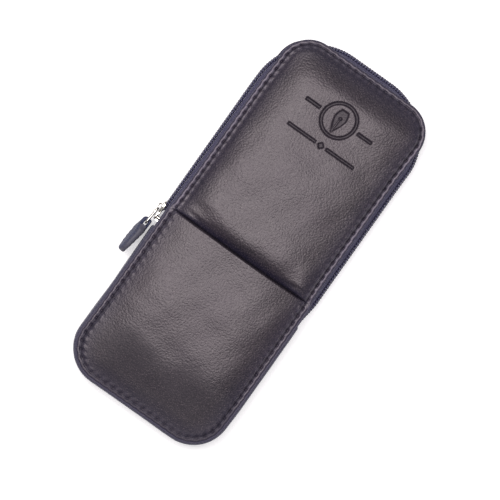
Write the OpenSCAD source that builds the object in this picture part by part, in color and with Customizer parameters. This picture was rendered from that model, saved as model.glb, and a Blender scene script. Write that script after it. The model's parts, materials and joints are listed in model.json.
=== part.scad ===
// Zipped case for two fountain pens, lying on its back.
// The front is cut at a crease: below it is a sewn pocket, above it a padded flap that folds forward.
// X runs across the case, Y along it towards the flap's end, Z up from the resting face.

/* [Case] */
// Half width of the pocket's leather at its edge
pocket_half_w = 34.8; // [34.6:0.1:35.0]
// Half width of the flap's leather at its edge
flap_half_w = 33.6; // [33.4:0.1:33.8]
// Half width of the back's leather at its edge
back_half_w = 34.4; // [34.2:0.1:34.6]
// Y of the leather edge at the pocket's closed end
bottom_y = -82.4; // [-84:0.2:-81]
// Y of the leather edge at the flap's end
top_y = 81; // [80:0.2:82]
// Y of the crease where the flap folds
crease_y = -8; // [-9:0.5:-7]
// Corner radius of the leather at the flap's end
top_corner_r = 13.5; // [13:0.5:14]
// Corner radius of the leather at the pocket's end
bottom_corner_r = 15; // [14.5:0.5:15.5]
// Height of the side wall between the two sewn rims
wall_h = 16.4; // [16:0.2:18]
// Height of the back rim above the resting face
back_crown = 2; // [1.8:0.1:2.2]
// Height of the padded front above its rim
front_crown = 4.2; // [4:0.1:4.4]
// Thickness of the outer leather
leather_t = 1.2; // [1.1:0.1:1.2]

/* [Zip] */
// Half width over the outside of the zip's coil
zip_half_w = 36.4; // [36.4:0.1:36.6]
// Y of the coil's outside across the flap's end
zip_top_y = 84; // [83.4:0.2:84.4]
// Corner radius of the coil's path
zip_corner_r = 27; // [26:0.5:28]
// Pitch of the coil, as on a size 3 coil zip
coil_pitch = 1.24; // [1.2:0.01:1.3]
// Thickness of the coil, outwards from the tape
coil_t = 1.3; // [1.2:0.1:1.3]
// Width of one row of coil
coil_row_w = 2.05; // [1.9:0.05:2.1]
// Thickness of the woven tape
tape_t = 0.55; // [0.5:0.05:0.55]

/* [Slider and puller] */
// Length of the slider along the zip
slider_l = 8.6; // [8:0.2:9]
// Distance between the link's two bars
link_l = 7.4; // [7.3:0.1:8.6]
// Radius of the link's wire
wire_r = 0.5; // [0.4:0.05:0.5]
// Length of the leather tab below the link's lower bar
tab_l = 15.2; // [12:0.2:16]
// Width of the leather tab
tab_w = 8; // [7.6:0.2:8.4]
// Thickness of the tab's two layers together
tab_t = 3.4; // [3.2:0.1:3.4]

/* [Stitching] */
// Distance from one stitch to the next
stitch_pitch = 3.6; // [3.4:0.1:4]
// Length of a stitch that shows
stitch_l = 2.6; // [2.4:0.1:2.8]
// Radius of the thread
thread_r = 0.25; // [0.2:0.05:0.3]
// Distance of the seam from the leather's edge
seam_inset = 1.4; // [1.3:0.1:1.6]

/* [Inside] */
// Width along the case of each elastic pen loop
loop_l = 12; // [10:1:14]
// Width across the case of each pen loop, outside
loop_w = 17; // [16:0.5:18]
// Y of the middle of the pen loops
loop_y = 42; // [38:1:46]
// Thickness of the divider between the pens
divider_t = 1.8; // [1.6:0.1:2]

/* [Hidden] */
$fn = 48;

clear = 0.05;
crease_gap = 0.3;
rim_w = 2.6;
flange_w = 3.6;
board_t = 1.2;
board_inset = 4.6;
board_crease_inset = 3;
edge_r = 0.3;
lining_t = 0.5;
lining_inset = 2.6;
gusset_t = 1.4;
gusset_half_w = 35.7;
gusset_bottom_y = bottom_y - 0.8;
gusset_end_y = -17.5;
gusset_flange_t = 0.9;
gusset_flange_w = 4.4;

// Heights of the layers, from the resting face up
back_rim_z = back_crown;
wall_low_z = back_rim_z + leather_t;
wall_top_z = wall_low_z + wall_h;
front_rim_z = wall_top_z + leather_t;
front_z = front_rim_z + front_crown;
mid_z = (wall_low_z + wall_top_z) / 2;
floor_z = wall_low_z + gusset_flange_t + clear;
bay_floor_z = floor_z + lining_t;
pocket_lining_z = wall_top_z - gusset_flange_t - lining_t - 2 * clear;
flap_lining_z = wall_top_z - tape_t - lining_t - 2 * clear;

// Each crown is a list of levels: inset from the edge, inset from the crease, height above the rim's top
flap_crown = [[rim_w, 0.6, 0], [4.6, 3.2, 0.62], [7.6, 7, 0.9], [13, 12, 1]];
pocket_crown = [[rim_w, 0.3, 0], [4.6, 0.9, 0.62], [7.6, 2, 0.9], [13, 4, 1]];
back_crown_levels = [[rim_w, 0], [5, 0.7], [8, 1]];

// Zip ends: where the coil stops in the slider, where the tape tucks in, and where its tail ends
coil_left_y = -12.4;
coil_right_y = -16.6;
tuck_start_y = -15.7;
tuck_end_y = gusset_end_y + 0.1;
tail_end_y = -24;
tuck = 0.9;
coil_gap = 0.08;
tape_gap = 0.86;
tooth_depth = 0.45;
tape_out = coil_t + clear;

// The slider's own frame: X down the zip, Y up in the case's frame, Z out from the left wall
slider_y = -11.1;
channel_in = zip_half_w - tape_out - tape_t - 0.15;
channel_out = zip_half_w + 0.15;
plate_t = 0.75;
pivot_out = channel_out + plate_t + 0.7;
link_lean = 5.2;
tab_lean = 7.4;
fold_r = wire_r + 0.1 + 1.65;
link_half_w = 3.75;
link_bend = 0.8;

// ---- Paths ----

// A U-shaped path from an open end, round two corners and back: place and outward normal at length s.
function u_at(w, y0, y1, r, s) =
    let(
        d = sign(y1 - y0),
        side = abs(y1 - y0) - r,
        arc = PI * r / 2,
        across = 2 * (w - r),
        turn_a = (s - side) / r * 180 / PI,
        turn_b = (s - side - arc - across) / r * 180 / PI
    )
    s < side ? [-w, y0 + d * s, -1, 0] :
    s < side + arc ? [-(w - r) - r * cos(turn_a), y1 - d * r + d * r * sin(turn_a), -cos(turn_a), d * sin(turn_a)] :
    s < side + arc + across ? [-(w - r) + s - side - arc, y1, 0, d] :
    s < side + 2 * arc + across ?
        [w - r + r * sin(turn_b), y1 - d * r + d * r * cos(turn_b), sin(turn_b), d * cos(turn_b)] :
    [w, y1 - d * r - d * (s - side - 2 * arc - across), 1, 0];

function u_length(w, y0, y1, r) = 2 * (abs(y1 - y0) - r) + PI * r + 2 * (w - r);

// A point moved outwards by off from a path's place, at height z
function out_from(p, off, z) = [p[0] + off * p[2], p[1] + off * p[3], z];

// ---- Flat outlines ----

// A rectangle from y0 to y1 with its corners rounded at each end, exact in its arcs
module outline(w, y0, y1, r0, r1) {
    difference() {
        translate([-w, y0]) square([2 * w, y1 - y0]);
        for (side = [-1, 1]) {
            if (r0 > 0) corner_waste(side * w, y0, -side, 1, r0);
            if (r1 > 0) corner_waste(side * w, y1, -side, -1, r1);
        }
    }
}

// What a round corner takes off a square one
module corner_waste(x, y, dx, dy, r) {
    difference() {
        translate([x + dx * (r / 2 - 0.5), y + dy * (r / 2 - 0.5)]) square(r + 1, center = true);
        translate([x + dx * r, y + dy * r]) circle(r);
        translate([x + dx * (r / 2 + r), y + dy * r]) square([r, 3 * r], center = true);
        translate([x + dx * r, y + dy * (r / 2 + r)]) square([3 * r, r], center = true);
    }
}

module slab(w, y0, y1, r0, r1, z, h) {
    translate([0, 0, z]) linear_extrude(height = h) outline(w, y0, y1, r0, r1);
}

// ---- Padded panels ----

corner_steps = 8;

// A closed ring of points round a rounded rectangle, with the same count for every size
function ring(w, low, high, r_low, r_high, z) = [
    for (corner = [[-1, 0, 180], [1, 0, 270], [1, 1, 0], [-1, 1, 90]])
        for (i = [0 : corner_steps])
            let(
                r = corner[1] > 0 ? r_high : r_low,
                x = corner[0] * (w - r),
                y = corner[1] > 0 ? high - r : low + r,
                turn = corner[2] + 90 * i / corner_steps
            )
            [x + r * cos(turn), y + r * sin(turn), z]
];

// A closed solid through rings, from the first ring's cap to the last one's
module loft(rings) {
    n = len(rings[0]);
    last = (len(rings) - 1) * n;
    polyhedron(
        points = [for (one = rings) each one],
        faces = [
            [for (j = [0 : n - 1]) j],
            [for (j = [n - 1 : -1 : 0]) last + j],
            for (i = [0 : len(rings) - 2]) for (j = [0 : n - 1])
                let(a = i * n + j, b = i * n + (j + 1) % n) each [[a, a + n, b], [b, a + n, b + n]]
        ]
    );
}

// One level of a crown as a ring. open_end is 1 where the crease is at y1 and -1 where it is at y0.
function crown_ring(w, y0, y1, r, level, z, h, extra, open_end) =
    let(
        inset = level[0] + extra,
        at_crease = level[1] + extra,
        low = open_end > 0 ? y0 + inset : y0 + at_crease,
        high = open_end > 0 ? y1 - at_crease : y1 - inset,
        sewn_r = max(r - inset, 2)
    )
    ring(w - inset, low, high, open_end > 0 ? sewn_r : 2, open_end > 0 ? 2 : sewn_r, z + h * level[2]);

// A front panel's leather: a flat sewn rim and a hollow padded crown
module front_leather(w, y0, y1, r0, r1, levels, open_end) {
    r = max(r0, r1);
    loft(concat(
        [for (i = [len(levels) - 1 : -1 : 0])
            crown_ring(w, y0, y1, r, levels[i], front_rim_z, front_crown, 0, open_end)],
        [ring(w, y0, y1, r0, r1, front_rim_z), ring(w, y0, y1, r0, r1, wall_top_z)],
        [for (level = levels)
            crown_ring(w, y0, y1, r, level, wall_top_z, front_crown, leather_t, open_end)]
    ));
}

// The foam that fills a front panel above its board
module front_foam(w, y0, y1, r, levels, open_end) {
    foam_z = wall_top_z + board_t - 0.2;
    foot = (levels[0] + levels[1]) / 2;
    top_z = wall_top_z - clear;
    loft(concat(
        [for (i = [len(levels) - 1 : -1 : 1])
            crown_ring(w, y0, y1, r, levels[i], top_z, front_crown, leather_t + 2 * clear, open_end)],
        [crown_ring(w, y0, y1, r, [foot[0], foot[1], 0], foam_z, 0, leather_t + 2 * clear, open_end)]
    ));
}

module front_board(w, y0, y1, r0, r1, open_end) {
    low = open_end > 0 ? y0 + board_inset : y0 + board_crease_inset;
    high = open_end > 0 ? y1 - board_crease_inset : y1 - board_inset;
    slab(w - board_inset, low, high, max(r0 - board_inset, 0), max(r1 - board_inset, 0),
         wall_top_z - 0.25, board_t);
}

flap_low_y = crease_y + crease_gap / 2;
pocket_high_y = crease_y - crease_gap / 2;

module flap_leather() color([0.16, 0.14, 0.16])
    front_leather(flap_half_w, flap_low_y, top_y, edge_r, top_corner_r, flap_crown, -1);

module flap_foam() color([0.85, 0.85, 0.8])
    front_foam(flap_half_w, flap_low_y, top_y, top_corner_r, flap_crown, -1);

module flap_board() color([0.6, 0.5, 0.38])
    front_board(flap_half_w, flap_low_y, top_y, 0, top_corner_r, -1);

module flap_lining() color([0.1, 0.1, 0.13])
    slab(flap_half_w - lining_inset, flap_low_y, top_y - lining_inset, 0, top_corner_r - lining_inset,
         flap_lining_z, lining_t);

module pocket_leather() color([0.16, 0.14, 0.16])
    front_leather(pocket_half_w, bottom_y, pocket_high_y, bottom_corner_r, edge_r, pocket_crown, 1);

module pocket_foam() color([0.85, 0.85, 0.8])
    front_foam(pocket_half_w, bottom_y, pocket_high_y, bottom_corner_r, pocket_crown, 1);

module pocket_board() color([0.6, 0.5, 0.38])
    front_board(pocket_half_w, bottom_y, pocket_high_y, bottom_corner_r, 0, 1);

module pocket_lining() color([0.1, 0.1, 0.13])
    slab(pocket_half_w - 2.2, bottom_y + 2.2, pocket_high_y, bottom_corner_r - 2.2, 0, pocket_lining_z, lining_t);

// ---- Back ----

// A ring of the back's leather at a level of its crown, which bulges towards the resting face
function back_ring(level, z, extra) =
    let(inset = level[0] + extra)
    ring(back_half_w - inset, bottom_y + inset, top_y - inset, bottom_corner_r - inset,
         max(top_corner_r - inset, 2), z - back_crown * level[1]);

module back_leather() color([0.16, 0.14, 0.16]) {
    n = len(back_crown_levels);
    loft(concat(
        [for (i = [n - 1 : -1 : 0]) back_ring(back_crown_levels[i], wall_low_z, leather_t)],
        [back_ring([0, 0], wall_low_z, 0), back_ring([0, 0], back_rim_z, 0)],
        [for (level = back_crown_levels) back_ring(level, back_rim_z, 0)]
    ));
}

module back_foam() color([0.85, 0.85, 0.8]) {
    inset = 8 + leather_t + 0.4;
    slab(back_half_w - inset, bottom_y + inset, top_y - inset, bottom_corner_r - inset, top_corner_r - inset,
         leather_t + clear, back_crown - 0.4);
}

module back_board() color([0.6, 0.5, 0.38]) {
    inset = board_inset + 0.4;
    slab(back_half_w - inset, bottom_y + inset, top_y - inset, bottom_corner_r - inset, top_corner_r - inset,
         floor_z - board_t - clear, board_t);
}

module back_lining() color([0.1, 0.1, 0.13])
    slab(back_half_w - 2.4, bottom_y + 2.4, top_y - 2.4, bottom_corner_r - 2.4, top_corner_r - 2.4, floor_z, lining_t);

// ---- Gusset round the pocket ----

// A strip of the side wall from in to out inside the gusset's outer face
module gusset_strip(from_out, to_in, z, h, end_y) {
    translate([0, 0, z]) linear_extrude(height = h) difference() {
        outline(gusset_half_w - from_out, gusset_bottom_y + from_out, end_y,
                bottom_corner_r + 0.9 - from_out, 0);
        outline(gusset_half_w - to_in, gusset_bottom_y + to_in, end_y + 1,
                bottom_corner_r + 0.9 - to_in, 0);
    }
}

module gusset_leather() color([0.14, 0.14, 0.2]) {
    gusset_strip(0, gusset_t, wall_low_z + clear, wall_h - 2 * clear, gusset_end_y);
    gusset_strip(0, gusset_flange_w, wall_low_z + clear, gusset_flange_t - clear, gusset_end_y);
    gusset_strip(0, gusset_flange_w, wall_top_z - gusset_flange_t, gusset_flange_t - clear, gusset_end_y);
}

module gusset_lining() color([0.1, 0.1, 0.13])
    gusset_strip(gusset_t + clear, gusset_t + clear + lining_t, bay_floor_z + clear,
                 pocket_lining_z - bay_floor_z - 2 * clear, tail_end_y - 0.5);

// ---- Inside ----

module pen_divider() color([0.16, 0.14, 0.16]) {
    low = bottom_y + 5;
    high = loop_y - loop_l / 2 - 4;
    tall = pocket_lining_z - bay_floor_z - 0.4;
    nose_r = 5;
    translate([-divider_t / 2, 0, bay_floor_z + clear]) rotate([90, 0, 90]) linear_extrude(height = divider_t)
        difference() {
            translate([low, 0]) square([high - low, tall]);
            corner_waste(high, tall, -1, -1, nose_r);
        }
}

// An elastic strap that stands over the back lining as an arch for one pen
module pen_loop(side) {
    strap_t = 0.9;
    tall = flap_lining_z - bay_floor_z - 1.2;
    arch_r = 5.5;
    translate([side * 16.4, loop_y + loop_l / 2, bay_floor_z + clear]) rotate([90, 0, 0])
        linear_extrude(height = loop_l) difference() {
            outline(loop_w / 2, 0, tall, 0, arch_r);
            translate([0, strap_t]) outline(loop_w / 2 - strap_t, 0, tall - 2 * strap_t, 0.5, arch_r - strap_t);
        }
}

module pen_loop_left() color([0.08, 0.08, 0.1]) pen_loop(-1);

module pen_loop_right() color([0.08, 0.08, 0.1]) pen_loop(1);

// ---- Zip ----

// One section of the front tape: a flange under the rim, a slope, and an upright edge behind the coil.
// rim and edge are places on the rim's path and the coil's path.
function tape_section(rim, edge, flange, high) = [
    out_from(rim, -flange, high),
    out_from(rim, -0.2, high),
    out_from(edge, -tape_out, mid_z + 3.5),
    out_from(edge, -tape_out, mid_z + tape_gap),
    out_from(edge, -tape_out - tape_t, mid_z + tape_gap),
    out_from(edge, -tape_out - tape_t, mid_z + 3.5),
    out_from(rim, -0.8, high - tape_t),
    out_from(rim, -flange, high - tape_t)
];

// A section on a straight side, at y. in moves the whole section inwards where it tucks under the gusset.
function side_section(side, y, rim_w_here, in, flange, high) =
    tape_section([side * (rim_w_here - in), y, side, 0], [side * (zip_half_w - in), y, side, 0], flange, high);

function tail_sections(side, rim_w_here) = [
    side_section(side, tail_end_y, rim_w_here, tuck, 1, wall_top_z - 1.2),
    side_section(side, tuck_end_y, rim_w_here, tuck, 1, wall_top_z - 1.2),
    side_section(side, tuck_start_y, rim_w_here, 0, flange_w, wall_top_z - clear)
];

tape_steps = 44;

function round_sections(rim_w_here, from_y) = [
    for (i = [0 : tape_steps])
        let(
            f = i / tape_steps,
            rim_l = u_length(rim_w_here, from_y, top_y, top_corner_r),
            edge_l = u_length(zip_half_w, from_y, zip_top_y, zip_corner_r)
        )
        tape_section(u_at(rim_w_here, from_y, top_y, top_corner_r, f * rim_l),
                     u_at(zip_half_w, from_y, zip_top_y, zip_corner_r, f * edge_l),
                     flange_w, wall_top_z - clear)
];

function reversed(list) = [for (i = [len(list) - 1 : -1 : 0]) list[i]];

// A closed solid through eight-sided sections, each an L in three quads
module tape_solid(sections) {
    n = len(sections);
    last = (n - 1) * 8;
    quads = [[0, 1, 6, 7], [1, 2, 5, 6], [2, 3, 4, 5]];
    polyhedron(
        points = [for (section = sections) each section],
        faces = [
            for (i = [0 : n - 2]) for (j = [0 : 7])
                let(a = i * 8 + j, b = i * 8 + (j + 1) % 8) each [[a, b, a + 8], [b, b + 8, a + 8]],
            for (q = quads) each [[q[0], q[2], q[1]], [q[0], q[3], q[2]]],
            for (q = quads) each [[last + q[0], last + q[1], last + q[2]], [last + q[0], last + q[2], last + q[3]]]
        ]
    );
}

module zip_tape_flap() color([0.12, 0.13, 0.2])
    tape_solid(round_sections(flap_half_w, crease_y + crease_gap / 2));

module zip_tape_front_tails() color([0.12, 0.13, 0.2]) {
    low = pocket_half_w;
    tape_solid(concat(tail_sections(-1, low),
                      [side_section(-1, crease_y - crease_gap / 2, low, 0, flange_w, wall_top_z - clear)]));
    tape_solid(concat([side_section(1, crease_y - crease_gap / 2, low, 0, flange_w, wall_top_z - clear)],
                      reversed(tail_sections(1, low))));
}

// The back tape has the same form turned over about the zip's middle height.
module zip_tape_back() color([0.12, 0.13, 0.2])
    translate([0, 0, 2 * mid_z]) mirror([0, 0, 1])
        tape_solid(concat(tail_sections(-1, back_half_w),
                          round_sections(back_half_w, crease_y),
                          reversed(tail_sections(1, back_half_w))));

// A row of coil from s0 to s1 along the coil's path that starts at the right-hand end's y
function tooth_edge(s0, s1) = [
    for (i = [0 : floor((s1 - s0) / coil_pitch) - 1])
        for (step = [[0, -tooth_depth], [0.2, 0], [0.6, 0], [0.8, -tooth_depth]])
            let(p = u_at(zip_half_w, coil_right_y, zip_top_y, zip_corner_r, s0 + (i + step[0]) * coil_pitch))
            [p[0] + step[1] * p[2], p[1] + step[1] * p[3]]
];

function back_edge(s0, s1) =
    let(n = max(2, ceil((s1 - s0) / 4)), end = s0 + (floor((s1 - s0) / coil_pitch) - 0.2) * coil_pitch)
    [
        for (i = [n : -1 : 0])
            let(p = u_at(zip_half_w, coil_right_y, zip_top_y, zip_corner_r, s0 + (end - s0) * i / n))
            [p[0] - coil_t * p[2], p[1] - coil_t * p[3]]
    ];

module coil_row(s0, s1) {
    translate([0, 0, mid_z + coil_gap]) linear_extrude(height = coil_row_w)
        polygon(concat(tooth_edge(s0, s1), back_edge(s0, s1)));
}

coil_l = u_length(zip_half_w, coil_right_y, zip_top_y, zip_corner_r);
coil_start = coil_left_y - coil_right_y;
crease_s = crease_y - coil_right_y;

module zip_coil_flap() color([0.1, 0.11, 0.17])
    coil_row(crease_s + crease_gap / 2, coil_l - crease_s - crease_gap / 2);

module zip_coil_front_tails() color([0.1, 0.11, 0.17]) {
    coil_row(coil_start, crease_s - crease_gap / 2);
    coil_row(coil_l - crease_s + crease_gap / 2, coil_l);
}

module zip_coil_back() color([0.1, 0.11, 0.17])
    translate([0, 0, 2 * mid_z]) mirror([0, 0, 1]) coil_row(coil_start, coil_l);

// Metal clips on the two tape edges that stop the slider at its closed end
module zip_top_stops() color([0.75, 0.74, 0.7]) {
    stop_t = 1.1;
    stop_x = zip_half_w - tape_out + clear + stop_t / 2;
    for (side = [-1, 1])
        translate([-stop_x, tuck_start_y + 0.4, mid_z + side * 1.4])
            cube([stop_t, 0.6, 1.8], center = true);
}

// A metal bar that joins the two tapes where the zip ends under the gusset
module zip_bottom_stop() color([0.75, 0.74, 0.7])
    translate([zip_half_w - tape_out - tape_t - tuck - 0.6, gusset_end_y - 2.5, mid_z])
        cube([1, 1.6, 5.4], center = true);

// ---- Slider, link and tab, on the left wall ----

module on_left_wall() {
    multmatrix([[0, 0, -1, 0], [-1, 0, 0, slider_y], [0, 1, 0, mid_z], [0, 0, 0, 1]]) children();
}

module slider_plan() {
    half = slider_l / 2;
    offset(r = 1, $fn = 32)
        polygon([[-half + 1, -1.9], [0.5, -2.3], [half - 1, -1.9], [half - 1, 1.9], [0.5, 2.3], [-half + 1, 1.9]]);
}

module slider_body() color([0.8, 0.79, 0.76]) on_left_wall() {
    half = slider_l / 2;
    rail_in = coil_row_w + coil_gap + 0.25;
    translate([0, 0, channel_out]) linear_extrude(height = plate_t) slider_plan();
    translate([0, 0, channel_in - plate_t]) linear_extrude(height = plate_t) slider_plan();
    translate([half - 1.3, 0, channel_in - 0.1]) cylinder(r = 0.8, h = channel_out - channel_in + 0.2);
    for (side = [-1, 1])
        translate([-half + 1, side > 0 ? rail_in : -rail_in - 0.5, channel_out - 0.9])
            cube([slider_l - 3, 0.5, 1]);
}

// The arch on the slider's outer plate that holds the link
module slider_cap() color([0.8, 0.79, 0.76]) on_left_wall() {
    cap_z = channel_out + plate_t + 0.01;
    translate([0, 1, 0]) rotate([90, 0, 0]) linear_extrude(height = 2) difference() {
        translate([0, cap_z]) outline(2.9, 0, 1.75, 0, 1.1);
        translate([0, pivot_out]) circle(wire_r + 0.15);
    }
}

// A wire ring from its pivot bar along X to its far bar, in the XY plane
module wire_ring(length, half_w, r, bend) {
    for (side = [-1, 1]) {
        translate([bend, side * half_w, 0]) rotate([0, 90, 0]) cylinder(r = r, h = length - 2 * bend);
        translate([side > 0 ? 0 : length, -half_w + bend, 0]) rotate([-90, 0, 0])
            cylinder(r = r, h = 2 * (half_w - bend));
    }
    for (corner = [[bend, -1, 180], [bend, 1, 90], [length - bend, 1, 0], [length - bend, -1, 270]])
        translate([corner[0], corner[1] * (half_w - bend), 0]) rotate([0, 0, corner[2]])
            rotate_extrude(angle = 90) translate([bend, 0]) circle(r);
}

// Moves a shape that hangs along X from the pivot, leaning out from the wall
module hanging(lean) {
    translate([0, 0, pivot_out]) rotate([0, -lean, 0]) children();
}

module pull_link() color([0.8, 0.79, 0.76])
    on_left_wall() hanging(link_lean) wire_ring(link_l, link_half_w, wire_r, link_bend);

// The tab's own frame: X down from the link's far bar, Y across, Z out
module on_link_end() {
    on_left_wall()
        translate([link_l * cos(link_lean), 0, pivot_out + link_l * sin(link_lean)])
            rotate([0, -tab_lean, 0]) children();
}

// The strip of leather folded round the link: its thickness profile, cut to its plan
module pull_tab() color([0.12, 0.13, 0.2]) on_link_end() {
    neck_w = 5.6;
    flat_x = 5;
    end_r = tab_w / 2;
    difference() {
        intersection() {
            translate([0, tab_w, 0]) rotate([90, 0, 0]) linear_extrude(height = 2 * tab_w) union() {
                circle(fold_r);
                polygon([[0, -fold_r], [flat_x, -tab_t / 2], [tab_l, -tab_t / 2],
                         [tab_l, tab_t / 2], [flat_x, tab_t / 2], [0, fold_r]]);
            }
            translate([0, 0, -fold_r - 1]) linear_extrude(height = 2 * fold_r + 2) union() {
                translate([-fold_r - 1, -neck_w / 2]) square([fold_r + 4, neck_w]);
                polygon([[2.6, -neck_w / 2], [flat_x, -tab_w / 2], [tab_l - end_r, -tab_w / 2],
                         [tab_l - end_r, tab_w / 2], [flat_x, tab_w / 2], [2.6, neck_w / 2]]);
                translate([tab_l - end_r, 0]) circle(end_r);
            }
        }
        translate([0, tab_w, 0]) rotate([90, 0, 0]) cylinder(r = wire_r + 0.1, h = 2 * tab_w);
    }
}

// Two short rows of stitches on each face of the tab
module pull_tab_stitching() color([0.3, 0.3, 0.42]) on_link_end() {
    count = 3;
    pitch = 2.6;
    for (face = [-1, 1]) for (side = [-1, 1]) for (i = [0 : count - 1])
        translate([5.6 + i * pitch, side * (tab_w / 2 - 1.2), face * (tab_t / 2 + thread_r * 0.8 + 0.01)])
            rotate([0, 90, 0]) cylinder(r = thread_r * 0.8, h = 1.9);
}

// ---- Stitching ----

// Stitches along a U-shaped seam, centred on its length, at height z
module seam(w, y0, y1, r, z) {
    length = u_length(w, y0, y1, r);
    count = floor((length - 2) / stitch_pitch);
    for (i = [0 : count - 1]) {
        p = u_at(w, y0, y1, r, length / 2 + (i - (count - 1) / 2) * stitch_pitch);
        translate([p[0], p[1], z]) rotate([0, 90, atan2(p[3], p[2]) + 90])
            cylinder(r = thread_r, h = stitch_l, center = true);
    }
}

module flap_stitching() color([0.3, 0.3, 0.42])
    seam(flap_half_w - seam_inset, crease_y + 1, top_y - seam_inset, top_corner_r - seam_inset,
         front_rim_z + thread_r + 0.01);

module pocket_stitching() color([0.3, 0.3, 0.42])
    seam(pocket_half_w - seam_inset, crease_y - 1, bottom_y + seam_inset, bottom_corner_r - seam_inset,
         front_rim_z + thread_r + 0.01);

module back_stitching() color([0.3, 0.3, 0.42]) {
    z = back_rim_z - thread_r - 0.01;
    seam(back_half_w - seam_inset, crease_y + 1, top_y - seam_inset, top_corner_r - seam_inset, z);
    seam(back_half_w - seam_inset, crease_y - 1, bottom_y + seam_inset, bottom_corner_r - seam_inset, z);
}

back_leather();
back_foam();
back_board();
back_lining();
pocket_leather();
pocket_foam();
pocket_board();
pocket_lining();
gusset_leather();
gusset_lining();
pen_divider();
pen_loop_left();
pen_loop_right();
zip_tape_back();
zip_coil_back();
zip_tape_front_tails();
zip_coil_front_tails();
zip_top_stops();
zip_bottom_stop();
back_stitching();
pocket_stitching();
flap_leather();
flap_foam();
flap_board();
flap_lining();
zip_tape_flap();
zip_coil_flap();
flap_stitching();
slider_body();
slider_cap();
pull_link();
pull_tab();
pull_tab_stitching();
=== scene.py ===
"""Looks for the zipped case for two fountain pens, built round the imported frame.

Lengths in this file are millimetres in the row frame, and become metres when a mesh is made.
"""

import itertools
import json
import math

import bpy
import numpy as np
from mathutils import Matrix, Vector


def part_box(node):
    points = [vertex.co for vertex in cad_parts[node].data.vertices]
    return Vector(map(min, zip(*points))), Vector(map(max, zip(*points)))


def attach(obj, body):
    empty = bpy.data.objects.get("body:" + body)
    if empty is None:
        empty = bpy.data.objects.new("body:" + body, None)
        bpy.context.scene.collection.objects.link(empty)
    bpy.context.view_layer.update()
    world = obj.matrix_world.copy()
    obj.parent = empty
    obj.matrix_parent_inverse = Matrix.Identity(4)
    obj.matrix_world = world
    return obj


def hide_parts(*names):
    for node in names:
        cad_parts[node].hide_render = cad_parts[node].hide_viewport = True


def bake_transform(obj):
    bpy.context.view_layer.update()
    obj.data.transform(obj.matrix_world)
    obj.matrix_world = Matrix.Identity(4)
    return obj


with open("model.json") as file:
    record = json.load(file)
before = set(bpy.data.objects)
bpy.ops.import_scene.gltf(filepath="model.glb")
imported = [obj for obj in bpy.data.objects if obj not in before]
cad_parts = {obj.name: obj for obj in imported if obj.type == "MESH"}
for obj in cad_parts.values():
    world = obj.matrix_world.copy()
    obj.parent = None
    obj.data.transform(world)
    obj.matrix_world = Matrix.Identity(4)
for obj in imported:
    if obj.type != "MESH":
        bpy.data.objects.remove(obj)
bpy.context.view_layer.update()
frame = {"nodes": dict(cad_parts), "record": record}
MM = 0.001
TAU = 2 * math.pi


def box_mm(node):
    """A CAD node's lowest and highest corner, in millimetres."""
    return [np.array(corner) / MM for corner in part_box(node)]


POCKET_LO, POCKET_HI = box_mm("pocket_leather")
FLAP_LO, FLAP_HI = box_mm("flap_leather")
GUSSET_LO, GUSSET_HI = box_mm("gusset_leather")
COIL_LO, COIL_HI = box_mm("zip_coil_flap")
COIL_BACK_LO, COIL_BACK_HI = box_mm("zip_coil_back")
BACK_HI = box_mm("back_leather")[1]
TAIL_END = box_mm("zip_tape_front_tails")[0][1]
POCKET_W, FLAP_W, BACK_W, COIL_W = POCKET_HI[0], FLAP_HI[0], BACK_HI[0], COIL_HI[0]
BOTTOM_Y, TOP_Y, COIL_TOP = POCKET_LO[1], FLAP_HI[1], COIL_HI[1]
CREASE_Y = (POCKET_HI[1] + FLAP_LO[1]) / 2
WALL_LOW, WALL_TOP = BACK_HI[2], FLAP_LO[2]
LEATHER_T = 1.2
RIM_Z, FRONT_Z = WALL_TOP + LEATHER_T, FLAP_HI[2]
BACK_RIM_Z = WALL_LOW - LEATHER_T
MID_Z = (COIL_BACK_HI[2] + COIL_LO[2]) / 2
CROWN = FRONT_Z - RIM_Z
TOP_R, BOTTOM_R, COIL_R = 12.8, 15.0, 27.0
SEAM_INSET, POCKET_INSET = 1.4, 2.0
PULL, PUCKER = 0.75, 1.7
STITCH_PITCH = 3.6
STITCH_FREE_END = 2.0
LIP_OFFSET, LIP_SWING = 0.66, 0.12

# A seam is a U: its half width, where it starts, where it turns, and the radius of its two corners.
FLAP_SEAM = (FLAP_W, CREASE_Y, TOP_Y, TOP_R)
POCKET_SEAM = (POCKET_W, CREASE_Y, BOTTOM_Y, BOTTOM_R)
BACK_SEAMS = [(BACK_W, CREASE_Y, TOP_Y, TOP_R), (BACK_W, CREASE_Y, BOTTOM_Y, BOTTOM_R)]
FRONT_OUTLINE = (BOTTOM_Y, TOP_Y, BOTTOM_R, TOP_R)


# ---- Small mathematics ----


def clamp(value, low=0.0, high=1.0):
    return np.clip(value, low, high)


def smooth(value, low=0.0, high=1.0):
    """0 below low, 1 above high, and an S between them."""
    t = clamp((np.asarray(value, float) - low) / (high - low))
    return t * t * (3 - 2 * t)


def bell(value, width):
    return np.exp(-((np.asarray(value, float) / width) ** 2))


def ease(value, power=2.2):
    """A rise from 0 to 1 that starts steep and ends level."""
    return 1 - (1 - clamp(value)) ** power


def signed_power(value, power):
    """A power that keeps the sign. Below 1, it squares off the circle that a sine and cosine draw."""
    return np.sign(value) * np.abs(value) ** power


def unit(vectors):
    """Each row's direction."""
    return vectors / (np.linalg.norm(vectors, axis=1)[:, None] + 1e-12)


def xyz(x, y, z):
    """Points from their coordinates, any of which may be one number for all of them."""
    return np.column_stack(np.broadcast_arrays(x, y, z))


def turns(count):
    """Angles round a full circle."""
    return np.linspace(0, TAU, count, endpoint=False)


def mirrored(half):
    """Positions on both sides of 0, from those on its right."""
    return np.concatenate([-half[:0:-1], half])


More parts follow.
